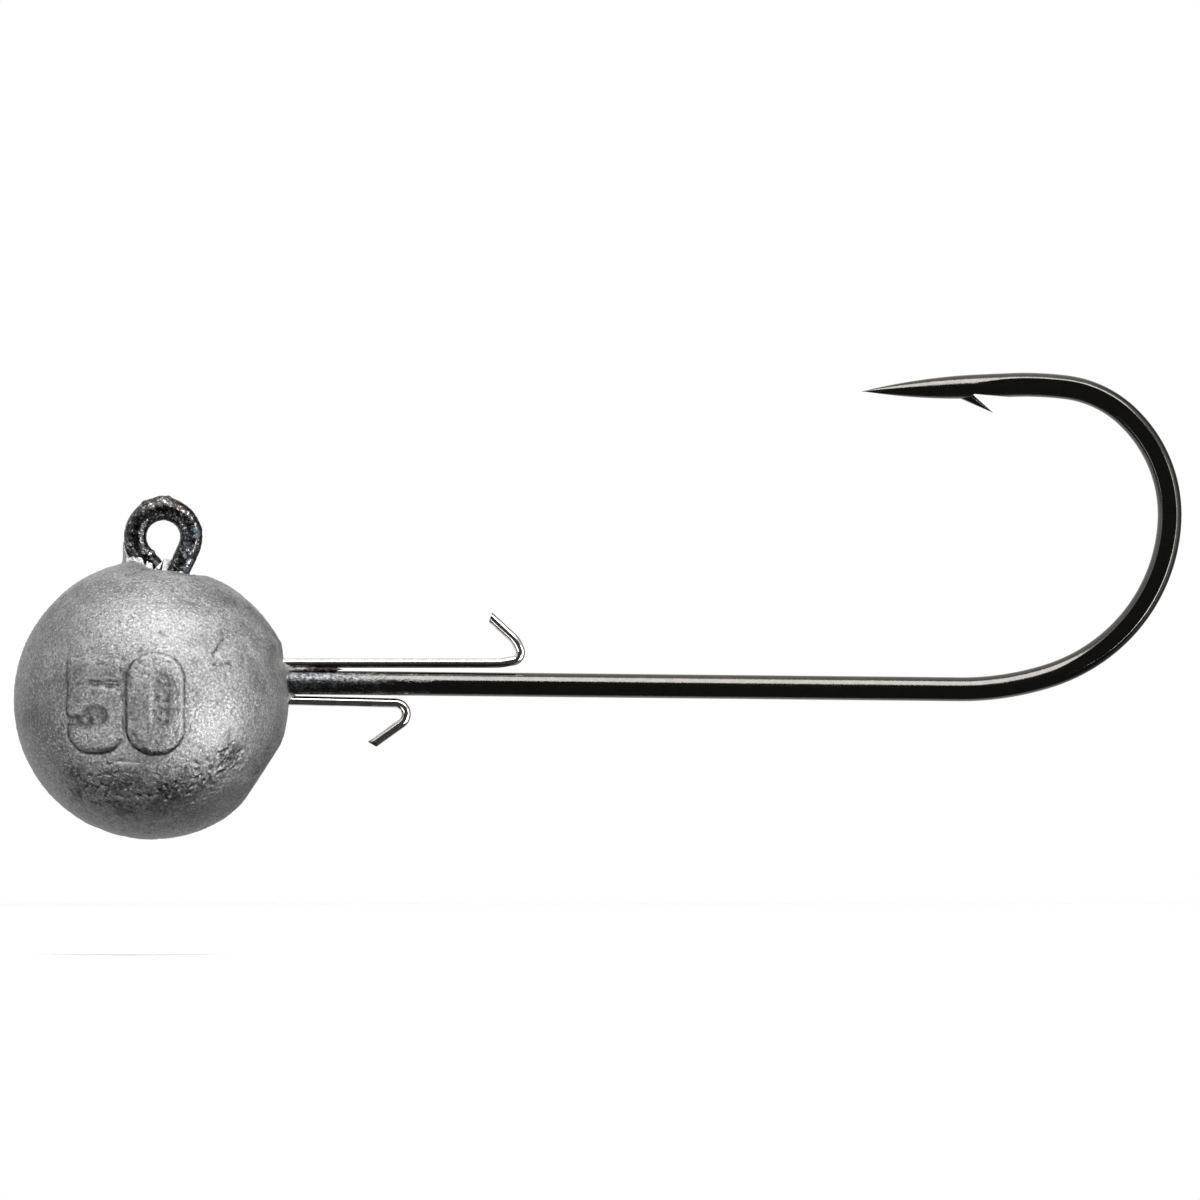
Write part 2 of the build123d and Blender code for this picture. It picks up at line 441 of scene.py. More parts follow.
def grey(value, warm=0.0):
    return (value * (1 + warm), value, value * (1 - warm), 1.0)


def lead_material():
    """As-cast lead: satin grey, cloudy, grainy, dark with grime and painted shade, bright where
    fresh.
    """
    m = Material("lead")
    cloud = m.noise(150.0, 4.0, 0.6, 0.6)
    mottle = m.noise(520.0, 5.0, 0.70)
    grain = m.noise(5600.0, 3.0, 0.7)
    speck = m.noise(2600.0, 3.0, 0.7)
    base = m.mix(m.remap(cloud, 0.34, 0.66), grey(0.205), grey(0.305))
    base = m.mix(m.remap(mottle, 0.48, 0.70, 0.0, 0.55), base, grey(0.42))
    base = m.mix(m.remap(mottle, 0.47, 0.30, 0.0, 0.60), base, grey(0.125))
    base = m.mix(m.remap(grain, 0.51, 0.65, 0.0, 0.70), base, grey(0.54))
    base = m.mix(m.remap(grain, 0.48, 0.34, 0.0, 0.70), base, grey(0.10))
    base = m.mix(m.remap(speck, 0.60, 0.72, 0.0, 0.30), base, grey(0.12))
    # The darkening read here is grime, and painted shade round and inside the digits
    grime_and_shade = m.times(m.attribute("dirt_and_shade"), m.remap(speck, 0.30, 0.60, 0.45, 1.0))
    base = m.mix(grime_and_shade, base, grey(0.034))
    base = m.mix(m.attribute("fresh"), base, grey(0.58))
    height = m.plus(m.times(grain, 0.7), m.times(speck, 0.8))
    rough = m.plus(m.remap(cloud, 0.3, 0.7, 0.48, 0.58), m.remap(mottle, 0.3, 0.7, -0.05, 0.05))
    return m.set(
        color=base,
        metallic=0.85,
        roughness=rough,
        normal=m.bump(height, 0.75, 0.08),
    )


def black_nickel_material():
    """Black nickel plate, smeared with lead by the head and crusted round the eye."""
    m = Material("black_nickel")
    along = m.noise(1.0, 5.0, 0.78, coords=m.stretch(600.0, 2200.0, 2200.0))
    wear = m.noise(1.0, 3.0, 0.6, coords=m.stretch(90.0, 2600.0, 2600.0))
    fine = m.noise(5200.0, 3.0, 0.65)
    patch = m.noise(1300.0, 5.0, 0.72, 0.4)
    plate = m.mix(m.remap(patch, 0.35, 0.70), (0.098, 0.095, 0.089, 1), (0.118, 0.113, 0.106, 1))
    plate = m.mix(m.remap(fine, 0.66, 0.74, 0.0, 0.35), plate, grey(0.30, 0.05))

    near_head = m.ramp(X, 8.5, 29.0, 0.20, -0.20)
    smear = m.remap(m.plus(along, near_head), 0.54, 0.64)
    eye_side = m.ramp(X, 4.0, 4.6, 1.0, 0.0)
    near_eye = m.times(eye_side, m.ramp(Z, -4.5, -3.8))
    film = m.times(smear, m.ramp(Z, -6.0, -5.0, 1.0, 0.0))
    film_tone = m.mix(m.remap(fine, 0.38, 0.62), (0.036, 0.041, 0.050, 1), grey(0.24))
    film_tone = m.mix(m.remap(patch, 0.50, 0.60, 0.0, 0.7), film_tone, grey(0.022))
    colour = m.mix(m.times(film, 0.90), plate, film_tone)

    crown = m.times(near_eye, m.ramp(Z, 0.8, 2.6))
    scale = m.mix(m.remap(patch, 0.38, 0.62), (0.022, 0.022, 0.024, 1), (0.085, 0.083, 0.082, 1))
    scale = m.mix(m.remap(fine, 0.56, 0.64, 0.0, 0.95), scale, grey(0.50))
    rust = m.mix(m.remap(fine, 0.42, 0.66), (0.022, 0.017, 0.015, 1), (0.15, 0.118, 0.10, 1))
    scale = m.mix(m.times(crown, m.remap(along, 0.44, 0.58, 0.0, 0.85)), scale, rust)
    tint = m.times(m.ramp(X, 1.2, 2.0), m.remap(patch, 0.52, 0.62))
    scale = m.mix(m.times(tint, 0.55), scale, (0.09, 0.15, 0.21, 1))
    colour = m.mix(near_eye, colour, scale)

    rough = m.remap(wear, 0.3, 0.7, 0.09, 0.17)
    rough = m.plus(rough, m.times(film, 0.26))
    rough = m.plus(rough, m.times(near_eye, m.remap(patch, 0.35, 0.60, 0.06, 0.26)))
    # Grinding marks on the point
    ground = m.times(m.ramp(Z, 8.0, 9.0), m.ramp(X, 60.0, 66.0, 1.0, 0.0))
    stones = m.noise(1.0, 4.0, 0.75, coords=m.stretch(2600.0, 1200.0, 1200.0))
    crusted = m.times(near_eye, m.times(patch, 0.7))
    relief = m.plus(m.times(film, along), crusted)
    relief = m.plus(relief, m.times(ground, m.times(stones, 0.45)))
    relief = m.plus(m.times(relief, 6.0), fine)
    return m.set(
        color=colour,
        metallic=1.0,
        roughness=rough,
        normal=m.bump(relief, 0.16, 0.05),
    )


def keeper_material():
    """Bright nickel wire, brown in spots, the underside of its upper leg darkened by painted
    reflection.
    """
    m = Material("keeper_wire")
    patch = m.noise(1400.0, 4.0, 0.65)
    drawn = m.noise(1.0, 3.0, 0.6, coords=m.stretch(150.0, 3500.0, 3500.0))
    colour = m.mix(m.remap(patch, 0.40, 0.70), (0.76, 0.75, 0.73, 1), (0.56, 0.53, 0.49, 1))
    colour = m.mix(m.remap(drawn, 0.62, 0.75, 0.0, 0.45), colour, (0.20, 0.17, 0.14, 1))
    # Painted reflection of the dark shank: the underside of the upper leg is darkened
    painted_underside_reflection = m.ramp(Z, UPPER_Z - 0.13, UPPER_Z + 0.01, 1.0, 0.0)
    painted_underside_reflection = m.times(painted_underside_reflection, m.ramp(Z, -11.0, -10.5))
    painted_underside_reflection = m.times(painted_underside_reflection, m.remap(patch, 0.34, 0.58, 0.80, 0.95))
    colour = m.mix(painted_underside_reflection, colour, (0.075, 0.058, 0.046, 1))
    colour = m.mix(m.attribute("burr"), colour, grey(0.06, 0.05))
    return m.set(
        color=colour,
        metallic=1.0,
        roughness=m.remap(patch, 0.35, 0.7, 0.06, 0.16),
        normal=m.bump(m.plus(m.noise(4000.0, 2.0), drawn), 0.08, 0.03),
    )


def cut_steel_material():
    """Sheared end of the keeper wire: dull, dark and torn."""
    m = Material("cut_steel")
    torn = m.noise(4500.0, 4.0, 0.7)
    return m.set(
        color=m.mix(m.remap(torn, 0.40, 0.62), grey(0.05, 0.05), grey(0.30, 0.03)),
        metallic=1.0,
        roughness=m.remap(torn, 0.3, 0.7, 0.30, 0.50),
        normal=m.bump(torn, 0.5, 0.06),
    )


def residue_material():
    """Brown flux and lead smear baked between the upper keeper wire and the shank."""
    m = Material("residue")
    blot = m.noise(1100.0, 4.0, 0.7)
    fine = m.noise(5000.0, 3.0, 0.6)
    far = m.ramp(X, 9.8, 11.2)
    brown = m.mix(m.remap(blot, 0.38, 0.62), (0.018, 0.014, 0.012, 1), (0.085, 0.068, 0.058, 1))
    return m.set(
        color=m.mix(far, m.mix(m.remap(fine, 0.4, 0.6), grey(0.20), grey(0.42)), brown),
        metallic=m.remap(blot, 0.3, 0.6, 0.9, 0.4),
        roughness=m.remap(fine, 0.3, 0.7, 0.40, 0.65),
        normal=m.bump(fine, 0.5, 0.08),
    )


# ---------------------------------------------------------------- hook

def shank_z(x):
    return SHANK_END[1] + (SHANK_END[0] - x) * math.tan(math.radians(SHANK_SLOPE))


def crust(points, centres):
    """Scale and lead spatter on the eye: a rough skin and a few nodules."""
    near = (points[:, 2] > -3.6) & (points[:, 0] < 4.5)
    p = points[near]
    out = p - centres[near]
    out /= np.maximum(np.linalg.norm(out, axis=1), 1e-9)[:, None]
    lift = 0.030 * fractal(p, 1.6, 4, 5.0) + 0.016 * fractal(p, 6.0, 2, 8.0)
    lift += 0.14 * bell(np.linalg.norm(p - (-0.2, 0.0, 2.9), axis=1), 1.1)
    for x, y, z, height, width in NODULES:
        lift += height * bell(np.linalg.norm(p - (x, y, z), axis=1), width)
    points[near] = p + out * lift[:, None]
    return points


def make_hook():
    """The forged hook as one skin, from the free arm of the eye to the point."""
    lean = math.radians(ARM_LEAN)
    join = np.array([-EYE_R * math.cos(lean), -EYE_R * math.sin(lean)])
    arm_end = join + ARM_L * np.array([math.sin(lean), -math.cos(lean)])
    eye_moves = [(ARM_L,), (EYE_R, -(180 + ARM_LEAN + LEG_LEAN)), (LEG_L,), (LEG_BEND_R, LEG_LEAN)]
    upper, _ = trace(arm_end, 90 + ARM_LEAN, eye_moves, EYE_STEP)
    foot = upper[-1]
    drop = foot[1] - shank_z(foot[0] + CORNER_R) - CORNER_R
    eye_moves += [(drop,), (CORNER_R, 90 - SHANK_SLOPE)]
    eye, eye_angles = trace(arm_end, 90 + ARM_LEAN, eye_moves, EYE_STEP)
    shank_l = (SHANK_END[0] - eye[-1][0]) / math.cos(math.radians(SHANK_SLOPE))
    rest, rest_angles = trace(
        eye[-1], -SHANK_SLOPE, [(shank_l,)] + BEND_ARCS + [(POINT_L,)], SHANK_STEP
    )
    path = np.vstack([eye, rest[1:]])
    angles = np.concatenate([eye_angles, rest_angles[1:]])
    steps = np.linalg.norm(np.diff(path, axis=0), axis=1)
    run = np.concatenate([[0], np.cumsum(steps)])
    to_tip = run[-1] - run

    corner_run = run[len(eye) - 1]
    grown = smooth(corner_run, corner_run + WIRE_BLEND, run)
    radius = EYE_WIRE_R + (SHANK_R - EYE_WIRE_R) * grown
    ogive = SHANK_R - (OGIVE_L - to_tip) ** 2 * SHANK_R / OGIVE_L**2
    radius = np.where(to_tip < OGIVE_L, np.maximum(ogive, TIP_R), radius)
    bend_run = corner_run + shank_l
    forged = smooth(bend_run + FLATS[0], bend_run + FLATS[1], run)
    forged = forged * smooth(*FLATS_AT_POINT, to_tip)
    clear = SHANK_R * 1.3           # wide enough not to touch the round wire
    flat = clear + (FORGED_HALF_T - clear) * forged

    # The rings have extra points at the four edges of the forged flats
    edge = math.asin(FORGED_HALF_T / SHANK_R)
    edges = [edge, math.pi - edge, math.pi + edge, 2 * math.pi - edge]
    angle = np.sort(np.concatenate(
        [ring_angles(HOOK_SIDES)]
        + [e + np.radians([-3.0, -1.5, 0.0, 1.5, 3.0]) for e in edges]
    ))
    tangents = in_plane(np.column_stack([np.cos(angles), np.sin(angles)]))
    normals = in_plane(np.column_stack([-np.sin(angles), np.cos(angles)]))
    centres = in_plane(path)
    points, faces = tube(centres, tangents, normals, radius, radius, flat=flat, angle=angle)
    owner = np.vstack([np.repeat(centres, len(angle), axis=0), centres[:1], centres[-1:]])
    points = crust(points, owner)

    # The slice that frees the barb leaves a flat notch on the inner side of the point
    x, z = points[:, 0], points[:, 2]
    slope = (SLICE_END[1] - BARB_ROOT[1]) / (SLICE_END[0] - BARB_ROOT[0])
    cut = BARB_ROOT[1] + (x - BARB_ROOT[0]) * slope
    sliced = (x > BARB_ROOT[0]) & (x < SLICE_END[0]) & (z > BARB_TIP[1])
    points[:, 2] = np.where(sliced, np.maximum(z, cut), z)
    return points, faces


def make_barb():
    """The lifted barb: a tapering blade with its root buried in the wire."""
    heel, tip = np.array(BARB_HEEL) + (0.0, BARB_OVERLAP), np.array(BARB_TIP)
    root = np.array(BARB_ROOT)
    buried = root + (tip - root) * (heel[0] - root[0]) / (tip[0] - root[0])
    t = np.linspace(0.0, 0.985, 26)[:, None]
    low, high = heel + (tip - heel) * t, buried + (tip - buried) * t
    middle = in_plane((low + high) / 2)
    along = in_plane(np.repeat((tip - (heel + buried) / 2)[None, :], len(t), axis=0))
    along /= np.linalg.norm(along, axis=1)[:, None]
    up = in_plane(high - low)
    half_height = np.linalg.norm(up, axis=1) / 2
    up /= np.linalg.norm(up, axis=1)[:, None]
    half_width = BARB_HALF_W[0] + (BARB_HALF_W[1] - BARB_HALF_W[0]) * t[:, 0]
    return tube(middle, along, up, half_height, half_width, angle=ring_angles(BARB_SIDES))


def fused(name, parts):
    """One closed skin from closed shells that overlap, smooth except at real edges."""
    objects = [mesh_object(name + str(i), points, faces) for i, (points, faces) in enumerate(parts)]
    for obj in objects:
        bm = bmesh.new()
        bm.from_mesh(obj.data)
        bmesh.ops.recalc_face_normals(bm, faces=bm.faces)
        bm.to_mesh(obj.data)
        bm.free()
    main = objects[0]
    for other in objects[1:]:
        modifier = main.modifiers.new("join", "BOOLEAN")
        modifier.operation = "UNION"
        modifier.solver = "EXACT"
        modifier.object = other
    depsgraph = bpy.context.evaluated_depsgraph_get()
    mesh = bpy.data.meshes.new_from_object(main.evaluated_get(depsgraph))
    main.modifiers.clear()
    main.data = mesh
    for other in objects[1:]:
        bpy.data.objects.remove(other)
    mesh.shade_smooth()
    mesh.set_sharp_from_angle(angle=SHARP_ANGLE)
    main.name = name
    return main


hook = fused("hook_wire", [make_hook(), make_barb()])
hook.data.materials.append(black_nickel_material())
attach(hook, "root")
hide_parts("hook")


# ---------------------------------------------------------------- bait keeper

def straight(start, end, step):
    """Points along a straight run, without its start and with its end."""
    count = max(2, round(np.linalg.norm(end - start) / step))
    return [start + (end - start) * i / count for i in range(1, count + 1)]


def rounded_path(corners, radii, step):
    """Points along straight runs joined by tangent arcs at the corners."""
    corners = [np.array(c, float) for c in corners]
    points = [corners[0]]
    for before, corner, after, radius in zip(corners, corners[1:], corners[2:], radii):
        inward = (before - corner) / np.linalg.norm(before - corner)
        outward = (after - corner) / np.linalg.norm(after - corner)
        opening = math.acos(np.clip(inward @ outward, -1, 1))
        reach = radius / math.tan(opening / 2)
        turn = math.pi - opening
        first = corner + inward * reach
        to_centre = inward + outward
        centre = corner + to_centre / np.linalg.norm(to_centre) * radius / math.sin(opening / 2)
        spoke = first - centre
        across = -inward * radius
        points += straight(points[-1], first, step)[:-1]
        count = max(8, round(radius * turn / step * 2))
        for i in range(count + 1):
            a = turn * i / count
            points.append(centre + spoke * math.cos(a) + across * math.sin(a))
    return np.array(points + straight(points[-1], corners[-1], step))


def frames(path):
    """Unit tangents, and normals carried along the path without twist."""
    tangents = np.gradient(path, axis=0)
    tangents /= np.linalg.norm(tangents, axis=1)[:, None]
    normals = [np.cross([0, 1, 0], tangents[0])]
    for t in tangents[1:]:
        n = normals[-1] - t * (normals[-1] @ t)
        normals.append(n / np.linalg.norm(n))
    return tangents, np.array(normals)


def make_keeper():
    """The hairpin wire, its two ends sheared off at a slant."""
    corners = (
        [(UPPER_SPUR_END[0], 0, UPPER_SPUR_END[1])]
        + [(x, 0, z) for x, z, _ in reversed(UPPER_BENDS)]
        + [(SADDLE_X, 0, UPPER_Z), (SADDLE_X, SADDLE_Y, UPPER_Z)]
        + [(SADDLE_X, SADDLE_Y, LOWER_Z), (SADDLE_X, 0, LOWER_Z)]
        + [(x, 0, z) for x, z, _ in LOWER_BENDS]
        + [(LOWER_SPUR_END[0], 0, LOWER_SPUR_END[1])]
    )
    radii = [r for _, _, r in reversed(UPPER_BENDS)] + [SADDLE_R] * 4
    radii += [r for _, _, r in LOWER_BENDS]
    path = rounded_path(corners, radii, KEEPER_STEP)
    tangents, normals = frames(path)
    steps = np.linalg.norm(np.diff(path, axis=0), axis=1)
    run = np.concatenate([[0], np.cumsum(steps)])
    to_end = np.minimum(run, run[-1] - run)
    radius = KEEPER_R - SHEAR_ROUND[0] * (1 - smooth(0.0, SHEAR_ROUND[1], to_end))
    points, faces = tube(path, tangents, normals, radius, radius)
    ring = (len(points) - 2) // len(path)
    for i in np.flatnonzero(to_end < SHEAR_REACH):
        rows = slice(i * ring, (i + 1) * ring)
        tilt = (points[rows] - path[i]) @ normals[i] * SHEAR * (1 - to_end[i] / SHEAR_REACH)
        points[rows] += np.outer(tilt, tangents[i])
    points[-2] = points[:ring].mean(axis=0)
    points[-1] = points[-2 - ring:-2].mean(axis=0)
    burr = np.append(np.repeat(bell(to_end, BURR_REACH), ring), [1.0, 1.0])
    return points, faces, burr


points, faces, burr = make_keeper()
keeper = mesh_object("keeper_wire", points, faces)
paint(keeper, "burr", 0.9 * burr)
keeper.data.materials.append(keeper_material())
keeper.data.materials.append(cut_steel_material())
for polygon in keeper.data.polygons:
    if max(polygon.vertices) >= len(points) - 2:
        polygon.material_index = 1
keeper.data.set_sharp_from_angle(angle=SHARP_ANGLE)
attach(keeper, "root")
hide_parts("keeper")


# ---------------------------------------------------------------- lead head

def box_distance(x, z, left, right, bottom, top):
    """Distance from each point to a rectangle, negative inside."""
    dx = np.abs(x - (left + right) / 2) - (right - left) / 2
    dz = np.abs(z - (bottom + top) / 2) - (top - bottom) / 2
    outside = np.hypot(np.maximum(dx, 0), np.maximum(dz, 0))
    return outside + np.minimum(np.maximum(dx, dz), 0)


def oval_distance(x, z, cx, cz, half_w, half_h):
    """Approximate distance from each point to an oval, negative inside."""
    px, pz = (x - cx) / half_w, (z - cz) / half_h
    k = np.hypot(px, pz)
    slope = np.hypot(px / half_w, pz / half_h)
    return k * (k - 1.0) / np.maximum(slope, 1e-6)


def rounded_distance(x, z, left, right, bottom, top, radius):
    """Distance to a rectangle with rounded corners, negative inside."""
    inner = box_distance(x, z, left + radius, right - radius, bottom + radius, top - radius)
    return inner - radius


def five(x, z):
    """Distances to the outline of the 5 and to the counter that opens to its left."""
    stem, bar, bowl, shoulder = (
        rounded_distance(x, z, *edges) for edges in (FIVE_STEM, FIVE_BAR, FIVE_BOWL, FIVE_SHOULDER)
    )
    hollow, mouth = (rounded_distance(x, z, *edges) for edges in (FIVE_COUNTER, FIVE_MOUTH))
    outline = smooth_min(smooth_min(stem, bar, 0.30), smooth_min(bowl, shoulder, 0.10), 0.36)
    return outline, smooth_min(hollow, mouth, 0.35)


def zero(x, z):
    """Distances to the outline of the 0 and to its counter."""
    return rounded_distance(x, z, *ZERO_RING), rounded_distance(x, z, *ZERO_COUNTER)


def unit_sphere():
    """A triangle mesh of the unit sphere, finer where the casting has detail."""
    left, right, bottom, top = MARKED
    bm = bmesh.new()
    bmesh.ops.create_icosphere(bm, subdivisions=6, radius=1.0)
    for level in range(3):
        fine = []
        for edge in bm.edges:
            p = ((edge.verts[0].co + edge.verts[1].co) / 2).normalized()
            x, z = p.x * BALL_R + BALL_C[0], p.z * BALL_R + BALL_C[2]
            if level == 0:
                wanted = p.y < 0.15
            elif level == 1:
                front = p.y < 0 and left < x < right and bottom < z < top
                wanted = front or p.z > 0.93 or (p.x > 0.93 and abs(p.y) < 0.22)
            else:
                near = min(abs(five(x, z)[0]), abs(zero(x, z)[0])) < 0.20
                dent = min(to_segment(x, z, *stroke[:2]) for stroke in STROKES) < 0.30
                wanted = (p.y < 0 and (near or dent)) or p.z > 0.953
            if wanted:
                fine.append(edge)
        bmesh.ops.subdivide_edges(bm, edges=fine, cuts=1, use_grid_fill=True)
        bmesh.ops.triangulate(bm, faces=bm.faces[:])
    points = np.array([v.co.normalized() for v in bm.verts])
    faces = [tuple(v.index for v in f.verts) for f in bm.faces]
    bm.free()
    return points, faces


def make_head():
    """The ball with its mark, gate cut, seam, pits and the lead that wet the wires."""
    unit, faces = unit_sphere()
    at = unit * BALL_R + BALL_C
    x, y, z = at.T
    front = y < 0
    rise = np.zeros(len(unit))
    dirt_and_shade = np.zeros(len(unit))
    fresh = np.zeros(len(unit))
    blotch = fractal(at, 0.55, 4, 2.0)
    rough = fractal(at, 2.4, 3, 6.0)

    # Cast skin: slow waves, a slightly pitted grain and the mould's own profile
    rise += 0.035 * fractal(unit, 2.2, 2) + 0.010 * fractal(at, 1.6, 4, 3.0)
    turn = np.degrees(np.arctan2(unit[:, 2], unit[:, 0]))
    profile = np.interp(turn, [a for a, _ in SKIN], [h for _, h in SKIN])
    rise += profile * bell(unit[:, 1], 0.35)

    # Seam of the two mould halves
    seam = bell(y + 0.05 * blotch, 0.11) * (1 + 0.6 * rough)
    rise += 0.035 * seam
    dirt_and_shade = np.maximum(dirt_and_shade, 0.35 * bell(y - 0.16, 0.10) * (blotch > -0.1))

    # Raised digits with soft cast edges and a dark line of grime and painted shade round them.
    # Each row: outline and counter, how far the counter sinks, its painted shade and line weight.
    digits = (
        (five(x, z), 0.95, 0.72, 0.8),
        # Painted shade on the 0's counter edge is heavier towards its right side
        (zero(x, z), 0.60, 0.34, 0.25 + 0.6 * smooth(-0.3, 0.4, x)),
    )
    for (outline, counter), depth, counter_shade, inner in digits:
        outline = outline + 0.04 * rough
        raised = smooth(0.24, -0.34, outline) * (1 - depth * smooth(0.30, -0.26, counter))
        rise += front * (0.90 * RELIEF * raised - 0.02 * bell(outline - 0.14, 0.12))
        # Painted shade: the line round the digits is heavier low down and fades at the top
        shade = 1.05 + 0.5 * smooth(-13.0, -15.5, z) - 0.55 * smooth(-9.6, -8.8, z) + 0.9 * rough
        edge = np.maximum(outline, -counter)
        line = bell(edge - 0.03, 0.13) * np.clip(shade, 0.20, 1.0)
        dirt_and_shade = np.maximum(dirt_and_shade, front * np.where(-counter > outline, inner * line, line))
        # Painted shade in the counters, which sink below the digits' faces
        shadow = smooth(0.12, -0.14, counter) * np.clip(counter_shade + 0.9 * rough, 0.0, 0.9)
        shadow *= smooth(0.10, -0.10, outline)
        dirt_and_shade = np.maximum(dirt_and_shade, front * shadow)
        worn = smooth(0.0, -0.25, outline) * np.clip(fractal(at, 4.5, 2, 31.0), 0.0, 0.5)
        rise -= front * 0.05 * worn
        dirt_and_shade = np.maximum(dirt_and_shade, front * 1.1 * worn)

    # Scars: the V-shaped nick and scratches, and dark strokes at the digits, most of them
    # painted shade along the digits' lower edges, under the 5's bar and in the 0's counter
    for start, end, depth, grime_and_shade in STROKES:
        away = to_segment(x, z, start, end) + 0.05 * rough
        rise -= front * depth * bell(away, 0.15)
        dirt_and_shade = np.maximum(dirt_and_shade, front * grime_and_shade * bell(away, 0.22) * np.clip(0.8 + rough, 0.3, 1.0))
        if grime_and_shade == 0:
            fresh = np.maximum(fresh, front * 0.5 * bell(away, 0.07))

    # Pitted, dark band low on the front, lowest in its middle, and smudges and painted shade
    below = z - (BAND_Z + BAND_CURVE * (x - BAND_X) ** 2)
    band = bell(below, np.where(below > 0, 1.35, 2.0)) * smooth(8.0, 5.4, np.abs(x + 0.4)) * front
    pit = np.clip(-fractal(at, 1.9, 3, 12.0) - 0.10, 0.0, 0.5)
    rise -= 0.20 * pit * band
    glint = np.clip(fractal(at, 5.0, 2, 17.0) - 0.22, 0.0, 0.4) * band
    fresh = np.maximum(fresh, 1.6 * glint)
    dirt_and_shade = np.maximum(dirt_and_shade, band * np.clip(0.55 + 2.8 * pit + 1.4 * blotch, 0.0, 1.0))
    cloudy = np.clip(0.6 + 1.2 * blotch, 0.35, 1.0)
    # Some of these are painted shade in the counters of the digits
    for cx, cz, reach, strength in SMUDGES_AND_SHADE:
        spread = bell(np.hypot(x - cx, z - cz), reach) * front
        dirt_and_shade = np.maximum(dirt_and_shade, np.clip(strength * spread, 0, 1) * cloudy)
    stray = np.clip(-fractal(at, 1.1, 4, 21.0) - 0.46, 0.0, 0.3)
    rise -= 0.12 * stray
    dirt_and_shade = np.maximum(dirt_and_shade, 1.6 * stray)

    # Flat where the gate was cut off
    gate = math.radians(GATE_ANGLE)
    facing = unit @ np.array([math.cos(gate), 0.0, math.sin(gate)])
    plane = (BALL_R - GATE_DEPTH + 0.03 * rough) / np.maximum(facing, 0.3)
    cut = np.where(facing > 0.3, smooth_min(BALL_R + rise, plane, 0.30) - (BALL_R + rise), 0.0)
    rise += cut
    fresh = np.maximum(fresh, smooth(-0.04, -0.20, cut) * np.clip(0.42 + 0.8 * rough, 0.1, 0.8))
    dirt_and_shade = np.maximum(dirt_and_shade, 0.45 * bell(facing - 0.955, 0.012) * (0.6 + rough))

    # Lead drawn up the wires of the eye, ragged where it let go of them
    crown = unit[:, 2] > CAP
    arm = oval_distance(x, y, *ARM_OVAL)
    leg = oval_distance(x, y, *LEG_OVAL)
    away = np.maximum(np.minimum(arm, leg), 0.0)
    level = np.interp(x, [a for a, _ in FOOT], [h for _, h in FOOT])
    swell = np.maximum(level, 0.0) * bell(away, 0.55)
    dish = np.minimum(level, 0.0) * bell(np.maximum(np.abs(y) - 1.2, 0.0), 1.3)
    web = bell(y, 0.32) * smooth(-0.45, 0.0, x) * smooth(1.0, 0.6, x)
    dish = dish * (1 - web) + 0.10 * web
    ragged = 0.20 * fractal(at, 2.6, 3, 15.0) * bell(away, 0.40)
    wisp = 1.15 * bell(np.hypot((x + 2.64) / 0.22, y / 0.50), 1.0) * (1 + 0.5 * rough)
    collar = 0.45 * bell(away, 0.18) * np.clip(0.7 + 1.8 * rough, 0.0, 1.2) * smooth(2.5, 0.0, x)
    collar *= 1 - 0.85 * bell(x - 0.35, 0.50)
    rise += crown * (swell + dish + ragged + wisp + collar)
    edge = bell(away, 0.34) * np.clip(0.60 + 2.0 * rough, 0.15, 1.0) * smooth(2.6, 0.6, x)
    tongue = 0.5 * bell(x + 2.66, 0.22) * bell(y, 0.5)
    fresh = np.maximum(fresh, crown * np.maximum(0.95 * edge, tongue))
    dirt_and_shade = np.maximum(dirt_and_shade, crown * 0.6 * bell(away, 0.10) * (rough < -0.05))

    # Lead drawn out along the shank and between it and the keeper wires
    exits = unit[:, 0] > CAP
    upper = bell(z + 9.85, 0.36) * bell(y, 0.62) * (1 + 0.5 * rough)
    lower = bell(z + 11.75, 0.28) * bell(y, 0.50) * (1 + 0.5 * rough)
    rise += exits * (0.70 * upper + 0.45 * lower)
    fresh = np.maximum(fresh, exits * 0.45 * np.maximum(upper, lower))

    return unit * (BALL_R + rise)[:, None] + BALL_C, faces, dirt_and_shade, fresh


points, faces, dirt_and_shade, fresh = make_head()
head = mesh_object("lead_ball", points, faces)
paint(head, "dirt_and_shade", dirt_and_shade)
paint(head, "fresh", fresh)
head.data.materials.append(lead_material())
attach(head, "root")
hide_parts("lead_head")


def residue_axis(x):
    return np.column_stack([x, np.full(len(x), RESIDUE_Y), np.full(len(x), RESIDUE_Z)])


def make_residue():
    """A ragged fillet of smeared lead and flux in the gap over the shank."""
    x = np.linspace(RESIDUE_START, RESIDUE_END, 90)
    centres = residue_axis(x)
    tangents = np.tile([1.0, 0.0, 0.0], (len(x), 1))
    normals = np.tile([0.0, 0.0, 1.0], (len(x), 1))
    fade = smooth(RESIDUE_END + 0.02, RESIDUE_END - 0.8, x)
    half_z = 0.17 * fade + 0.01
    half_y = 0.36 * fade + 0.01
    points, faces = tube(centres, tangents, normals, half_z, half_y)
    lump = 1 + 0.45 * fractal(points, 2.2, 3, 4.0)
    owner = residue_axis(points[:, 0])
    return owner + (points - owner) * lump[:, None], faces


points, faces = make_residue()
residue = mesh_object("flux_residue", points, faces)
residue.data.materials.append(residue_material())
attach(residue, "root")
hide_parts("lead_head")


# ---------------------------------------------------------------- studio

def aim(obj, target):
    direction = Vector(target) - obj.location
    obj.rotation_euler = direction.to_track_quat("-Z", "Y").to_euler()


